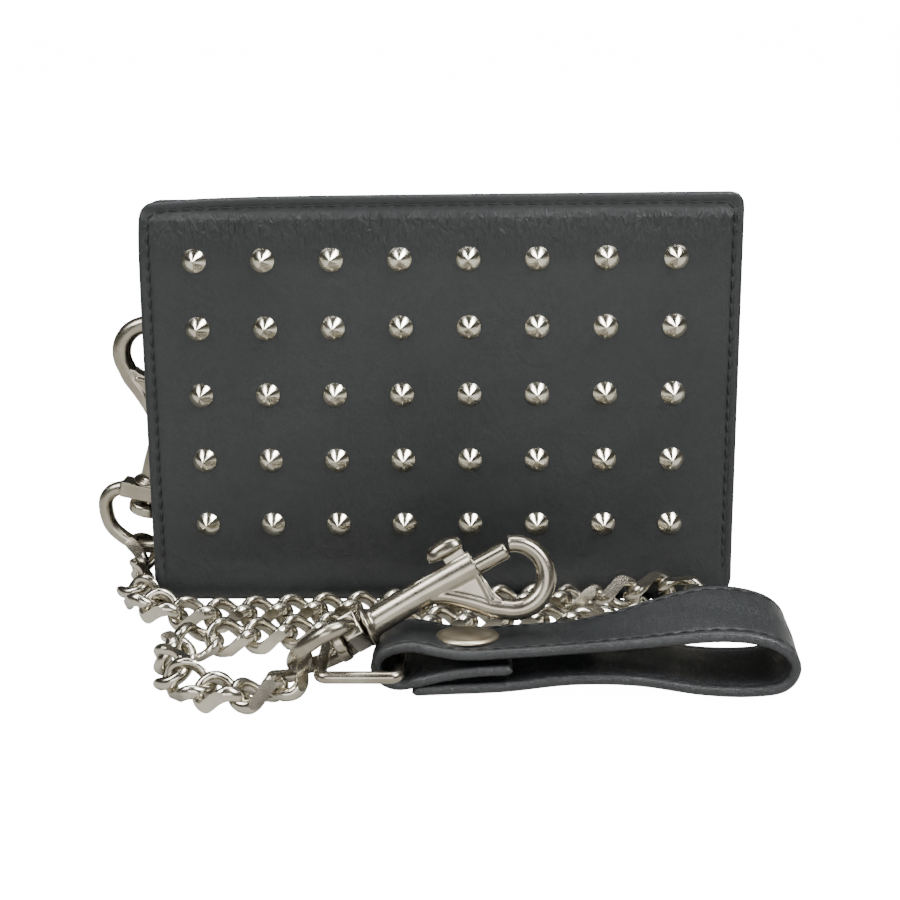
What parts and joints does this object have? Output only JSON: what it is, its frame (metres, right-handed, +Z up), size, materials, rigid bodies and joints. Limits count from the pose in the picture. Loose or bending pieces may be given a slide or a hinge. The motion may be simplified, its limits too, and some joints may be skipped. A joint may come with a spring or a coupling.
{
  "type": "chain wallet",
  "caption": "Studded black leather bifold wallet with a curb chain, a bolt snap hook at each end of the chain, and a snap-closed belt strap on a ring.",
  "frame": {"origin": "on the floor, under the middle of the wallet's fold", "axes": "+X along the fold, to the right seen from the studded cover; +Y from the studded cover to the rear cover; +Z up"},
  "size_m": [0.1563, 0.077, 0.0958],
  "materials": {
    "cover_leather": "smooth black leather, semi-gloss",
    "pocket_leather": "matt black leather",
    "strap_leather": "black pebbled leather, semi-gloss",
    "stud_nickel": "polished nickel plate",
    "chain_nickel": "polished nickel plate",
    "fitting_nickel": "polished nickel plate"
  },
  "bodies": {
    "wallet_front": {"front_cover": "cover_leather", "studs": "stud_nickel", "card_pocket": "pocket_leather", "chain_tab": "cover_leather"},
    "wallet_rear": {"rear_cover": "cover_leather", "bill_pocket": "pocket_leather", "coin_pocket": "pocket_leather"},
    "tab_ring": {"tab_ring": "fitting_nickel"},
    "hook1": {"hook1_body": "fitting_nickel"},
    "hook1_bolt": {"hook1_bolt": "fitting_nickel"},
    "hook1_swivel": {"hook1_swivel": "fitting_nickel"},
    "link_01": {"link_01": "chain_nickel"},
    "link_02": {"link_02": "chain_nickel"},
    "link_03": {"link_03": "chain_nickel"},
    "link_04": {"link_04": "chain_nickel"},
    "link_05": {"link_05": "chain_nickel"},
    "link_06": {"link_06": "chain_nickel"},
    "link_07": {"link_07": "chain_nickel"},
    "link_08": {"link_08": "chain_nickel"},
    "link_09": {"link_09": "chain_nickel"},
    "link_10": {"link_10": "chain_nickel"},
    "link_11": {"link_11": "chain_nickel"},
    "link_12": {"link_12": "chain_nickel"},
    "link_13": {"link_13": "chain_nickel"},
    "link_14": {"link_14": "chain_nickel"},
    "link_15": {"link_15": "chain_nickel"},
    "link_16": {"link_16": "chain_nickel"},
    "link_17": {"link_17": "chain_nickel"},
    "link_18": {"link_18": "chain_nickel"},
    "link_19": {"link_19": "chain_nickel"},
    "link_20": {"link_20": "chain_nickel"},
    "link_21": {"link_21": "chain_nickel"},
    "link_22": {"link_22": "chain_nickel"},
    "link_23": {"link_23": "chain_nickel"},
    "link_24": {"link_24": "chain_nickel"},
    "link_25": {"link_25": "chain_nickel"},
    "link_26": {"link_26": "chain_nickel"},
    "link_27": {"link_27": "chain_nickel"},
    "link_28": {"link_28": "chain_nickel"},
    "link_29": {"link_29": "chain_nickel"},
    "link_30": {"link_30": "chain_nickel"},
    "link_31": {"link_31": "chain_nickel"},
    "link_32": {"link_32": "chain_nickel"},
    "link_33": {"link_33": "chain_nickel"},
    "link_34": {"link_34": "chain_nickel"},
    "link_35": {"link_35": "chain_nickel"},
    "link_36": {"link_36": "chain_nickel"},
    "link_37": {"link_37": "chain_nickel"},
    "link_38": {"link_38": "chain_nickel"},
    "link_39": {"link_39": "chain_nickel"},
    "link_40": {"link_40": "chain_nickel"},
    "link_41": {"link_41": "chain_nickel"},
    "hook2_swivel": {"hook2_swivel": "fitting_nickel"},
    "hook2": {"hook2_body": "fitting_nickel"},
    "hook2_bolt": {"hook2_bolt": "fitting_nickel"},
    "strap_ring": {"strap_ring": "fitting_nickel"},
    "strap": {"strap_upper": "strap_leather", "strap_snap_cap": "fitting_nickel"},
    "strap_tail": {"strap_tail": "strap_leather", "strap_snap_stud": "fitting_nickel"}
  },
  "joints": [
    {"name": "wallet_fold", "type": "hinge", "parent": "wallet_front", "child": "wallet_rear", "pos_m": [0, 0.0096, 0.0004], "axis": [-1, 0, 0], "range_deg": [0, 90]},
    {"name": "tab_ring_swing", "type": "hinge", "parent": "wallet_front", "child": "tab_ring", "pos_m": [-0.059, 0, 0.06652], "axis": [0, 1, 0], "range_deg": [-1, 8]},
    {"name": "hook1_swing", "type": "hinge", "parent": "tab_ring", "child": "hook1", "pos_m": [-0.06525, 0, 0.06004], "axis": [0, 1, 0], "range_deg": [0, 25]},
    {"name": "hook1_bolt_slide", "type": "slide", "parent": "hook1", "child": "hook1_bolt", "axis": [-0.2368, 0, -0.9715], "range_m": [0, 0.0055], "stiffness_N_per_m": 5, "springref_m": -0.02},
    {"name": "hook1_swivel_turn", "type": "hinge", "parent": "hook1", "child": "hook1_swivel", "pos_m": [-0.0695, 0, 0.027], "axis": [0.2368, 0, 0.9715], "range_deg": [-10, 0]},
    {"name": "link_01_hinge", "type": "hinge", "parent": "hook1_swivel", "child": "link_01", "pos_m": [-0.07348, 0, 0.01068], "axis": [1, 0, 0], "range_deg": [-20, 20]},
    {"name": "link_02_hinge", "type": "hinge", "parent": "link_01", "child": "link_02", "pos_m": [-0.07383, -0.00552, 0.00672], "axis": [-0.9979, -0.065, 0], "range_deg": [-20, 9]},
    {"name": "link_03_hinge", "type": "hinge", "parent": "link_02", "child": "link_03", "pos_m": [-0.07274, -0.0134, 0.00522], "axis": [0.9289, 0.3703, 0], "range_deg": [-11, 20]},
    {"name": "link_04_hinge", "type": "hinge", "parent": "link_03", "child": "link_04", "pos_m": [-0.06809, -0.01993, 0.00421], "axis": [-0.6416, -0.767, 0], "range_deg": [-20, 7]},
    {"name": "link_05_hinge", "type": "hinge", "parent": "link_04", "child": "link_05", "pos_m": [-0.06084, -0.02335, 0.00314], "axis": [0, 1, 0], "range_deg": [-20, 20]},
    {"name": "link_06_hinge", "type": "hinge", "parent": "link_05", "child": "link_06", "pos_m": [-0.05277, -0.02359, 0.00279], "axis": [0, -1, 0], "range_deg": [-20, 9]},
    {"name": "link_07_hinge", "type": "hinge", "parent": "link_06", "child": "link_07", "pos_m": [-0.04473, -0.02237, 0.00271], "axis": [0, 1, 0], "range_deg": [-20, 20]},
    {"name": "link_08_hinge", "type": "hinge", "parent": "link_07", "child": "link_08", "pos_m": [-0.03669, -0.02119, 0.00269], "axis": [0, -1, 0], "range_deg": [-20, 20]},
    {"name": "link_09_hinge", "type": "hinge", "parent": "link_08", "child": "link_09", "pos_m": [-0.02868, -0.02033, 0.00269], "axis": [0, 1, 0], "range_deg": [-14, 20]},
    {"name": "link_10_hinge", "type": "hinge", "parent": "link_09", "child": "link_10", "pos_m": [-0.02063, -0.01947, 0.0027], "axis": [0, -1, 0], "range_deg": [-20, 20]},
    {"name": "link_11_hinge", "type": "hinge", "parent": "link_10", "child": "link_11", "pos_m": [-0.01255, -0.01848, 0.00269], "axis": [0, 1, 0], "range_deg": [-20, 20]},
    {"name": "link_12_hinge", "type": "hinge", "parent": "link_11", "child": "link_12", "pos_m": [-0.00443, -0.01744, 0.00268], "axis": [0, -1, 0], "range_deg": [-20, 20]},
    {"name": "link_13_hinge", "type": "hinge", "parent": "link_12", "child": "link_13", "pos_m": [0.00364, -0.01653, 0.00269], "axis": [0, 1, 0], "range_deg": [-20, 20]},
    {"name": "link_14_hinge", "type": "hinge", "parent": "link_13", "child": "link_14", "pos_m": [0.01179, -0.01587, 0.00272], "axis": [0, -1, 0], "range_deg": [-20, 20]},
    {"name": "link_15_hinge", "type": "hinge", "parent": "link_14", "child": "link_15", "pos_m": [0.01995, -0.01539, 0.00276], "axis": [0, 1, 0], "range_deg": [-20, 20]},
    {"name": "link_16_hinge", "type": "hinge", "parent": "link_15", "child": "link_16", "pos_m": [0.028, -0.0149, 0.0029], "axis": [0, -1, 0], "range_deg": [-20, 20]},
    {"name": "link_17_hinge", "type": "hinge", "parent": "link_16", "child": "link_17", "pos_m": [0.03608, -0.01422, 0.00323], "axis": [0, 1, 0], "range_deg": [-20, 20]},
    {"name": "link_18_hinge", "type": "hinge", "parent": "link_17", "child": "link_18", "pos_m": [0.04411, -0.0136, 0.00377], "axis": [0, -1, 0], "range_deg": [-20, 20]},
    {"name": "link_19_hinge", "type": "hinge", "parent": "link_18", "child": "link_19", "pos_m": [0.05215, -0.01328, 0.00453], "axis": [0, 1, 0], "range_deg": [-20, 20]},
    {"name": "link_20_hinge", "type": "hinge", "parent": "link_19", "child": "link_20", "pos_m": [0.05848, -0.01831, 0.00492], "axis": [-0.8708, -0.4916, 0], "range_deg": [-14, 15]},
    {"name": "link_21_hinge", "type": "hinge", "parent": "link_20", "child": "link_21", "pos_m": [0.05953, -0.02634, 0.00495], "axis": [0.9509, -0.3096, 0], "range_deg": [-11, 7]},
    {"name": "link_22_hinge", "type": "hinge", "parent": "link_21", "child": "link_22", "pos_m": [0.05395, -0.03222, 0.0046], "axis": [0, 1, 0], "range_deg": [-2, 20]},
    {"name": "link_23_hinge", "type": "hinge", "parent": "link_22", "child": "link_23", "pos_m": [0.04596, -0.03113, 0.00375], "axis": [0, -1, 0], "range_deg": [-20, 20]},
    {"name": "link_24_hinge", "type": "hinge", "parent": "link_23", "child": "link_24", "pos_m": [0.03818, -0.02906, 0.00315], "axis": [0, 1, 0], "range_deg": [-20, 20]},
    {"name": "link_25_hinge", "type": "hinge", "parent": "link_24", "child": "link_25", "pos_m": [0.03034, -0.02704, 0.00281], "axis": [0, -1, 0], "range_deg": [-20, 20]},
    {"name": "link_26_hinge", "type": "hinge", "parent": "link_25", "child": "link_26", "pos_m": [0.02231, -0.02622, 0.00265], "axis": [0, 1, 0], "range_deg": [-20, 20]},
    {"name": "link_27_hinge", "type": "hinge", "parent": "link_26", "child": "link_27", "pos_m": [0.01421, -0.02645, 0.00264], "axis": [0, -1, 0], "range_deg": [-20, 20]},
    {"name": "link_28_hinge", "type": "hinge", "parent": "link_27", "child": "link_28", "pos_m": [0.00609, -0.02711, 0.00268], "axis": [0, 1, 0], "range_deg": [-20, 20]},
    {"name": "link_29_hinge", "type": "hinge", "parent": "link_28", "child": "link_29", "pos_m": [-0.00195, -0.02789, 0.0027], "axis": [0, -1, 0], "range_deg": [-20, 20]},
    {"name": "link_30_hinge", "type": "hinge", "parent": "link_29", "child": "link_30", "pos_m": [-0.01005, -0.02889, 0.00269], "axis": [0, 1, 0], "range_deg": [-20, 20]},
    {"name": "link_31_hinge", "type": "hinge", "parent": "link_30", "child": "link_31", "pos_m": [-0.0181, -0.03013, 0.00269], "axis": [0, -1, 0], "range_deg": [-20, 20]},
    {"name": "link_32_hinge", "type": "hinge", "parent": "link_31", "child": "link_32", "pos_m": [-0.02607, -0.03155, 0.00271], "axis": [0, 1, 0], "range_deg": [-20, 20]},
    {"name": "link_33_hinge", "type": "hinge", "parent": "link_32", "child": "link_33", "pos_m": [-0.03398, -0.03318, 0.00273], "axis": [0, -1, 0], "range_deg": [-20, 20]},
    {"name": "link_34_hinge", "type": "hinge", "parent": "link_33", "child": "link_34", "pos_m": [-0.04183, -0.03501, 0.00283], "axis": [0, 1, 0], "range_deg": [-20, 20]},
    {"name": "link_35_hinge", "type": "hinge", "parent": "link_34", "child": "link_35", "pos_m": [-0.04972, -0.03687, 0.00304], "axis": [0, -1, 0], "range_deg": [-20, 20]},
    {"name": "link_36_hinge", "type": "hinge", "parent": "link_35", "child": "link_36", "pos_m": [-0.05584, -0.04208, 0.00391], "axis": [-0.8519, 0.5237, 0], "range_deg": [-20, 20]},
    {"name": "link_37_hinge", "type": "hinge", "parent": "link_36", "child": "link_37", "pos_m": [-0.05774, -0.04991, 0.0045], "axis": [0.9924, 0.1233, 0], "range_deg": [-20, 11]},
    {"name": "link_38_hinge", "type": "hinge", "parent": "link_37", "child": "link_38", "pos_m": [-0.05398, -0.05706, 0.00397], "axis": [-0.7374, -0.6755, 0], "range_deg": [-20, 20]},
    {"name": "link_39_hinge", "type": "hinge", "parent": "link_38", "child": "link_39", "pos_m": [-0.04723, -0.06139, 0.00302], "axis": [0, 1, 0], "range_deg": [-20, 20]},
    {"name": "link_40_hinge", "type": "hinge", "parent": "link_39", "child": "link_40", "pos_m": [-0.03957, -0.064, 0.0028], "axis": [0, -1, 0], "range_deg": [-20, 7]},
    {"name": "link_41_hinge", "type": "hinge", "parent": "link_40", "child": "link_41", "pos_m": [-0.03216, -0.06082, 0.00356], "axis": [-0.6373, 0.7706, 0], "range_deg": [-4, 20]},
    {"name": "hook2_swivel_swing", "type": "hinge", "parent": "link_41", "child": "hook2_swivel", "pos_m": [-0.02937, -0.05572, 0.00586], "axis": [-0.107, -0.8132, 0.5721], "range_deg": [-15, 15]},
    {"name": "hook2_turn", "type": "hinge", "parent": "hook2_swivel", "child": "hook2", "pos_m": [-0.0146, -0.0525, 0.0132], "axis": [0.8789, 0.1916, 0.4368], "range_deg": [-20, 20]},
    {"name": "hook2_bolt_slide", "type": "slide", "parent": "hook2", "child": "hook2_bolt", "axis": [-0.8789, -0.1916, -0.4368], "range_m": [0, 0.0055], "stiffness_N_per_m": 5, "springref_m": -0.02},
    {"name": "strap_ring_swing", "type": "hinge", "parent": "hook2_swivel", "child": "strap_ring", "pos_m": [-0.0232, -0.05025, 0.0066], "axis": [0, 0, 1], "range_deg": [-4, 0]},
    {"name": "strap_swing", "type": "hinge", "parent": "strap_ring", "child": "strap", "pos_m": [-0.0076, -0.05025, 0.0066], "axis": [0, 1, 0], "range_deg": [0, 25]},
    {"name": "strap_open", "type": "hinge", "parent": "strap", "child": "strap_tail", "pos_m": [0.06515, -0.05025, 0.0136], "axis": [0, -1, 0], "range_deg": [0, 30]}
  ]
}
